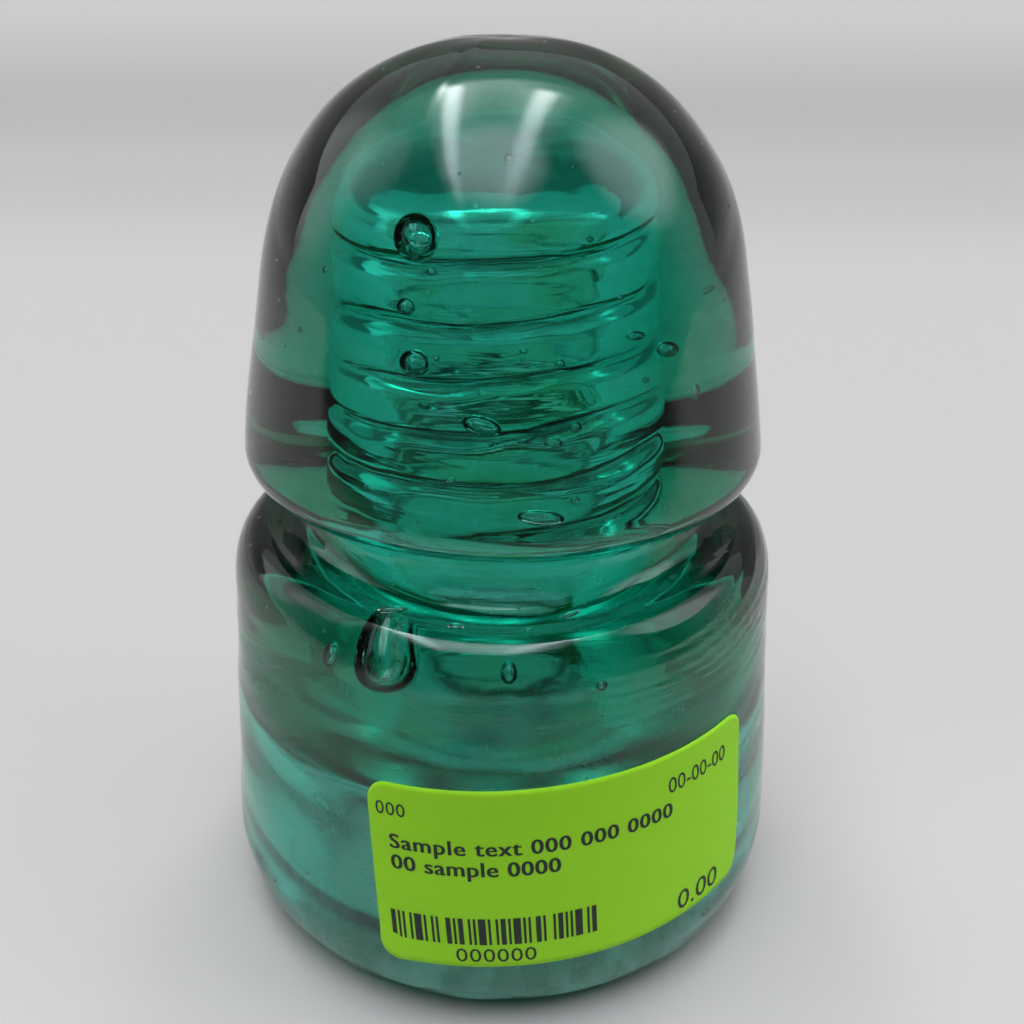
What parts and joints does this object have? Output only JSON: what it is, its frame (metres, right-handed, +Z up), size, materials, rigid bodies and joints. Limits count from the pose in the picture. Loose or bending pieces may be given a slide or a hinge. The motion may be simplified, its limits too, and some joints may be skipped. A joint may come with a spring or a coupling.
{
  "type": "glass pin insulator",
  "caption": "Pressed glass line insulator with a domed crown, wire groove, hollow skirt and threaded blind pin hole, with a paper price sticker on the skirt.",
  "frame": {"origin": "on the turning axis, in the plane the base rim rests on", "axes": "+Z up along the turning axis towards the crown; -Y is the front, where the label is"},
  "size_m": [0.068, 0.0682, 0.1016],
  "materials": {
    "glass": "fire-polished pressed glass, teal green, with bubbles and flow lines",
    "label_paper": "matt lime-green self-adhesive paper"
  },
  "bodies": {
    "root": {"glass_body": "glass", "price_label": "label_paper"}
  },
  "joints": []
}
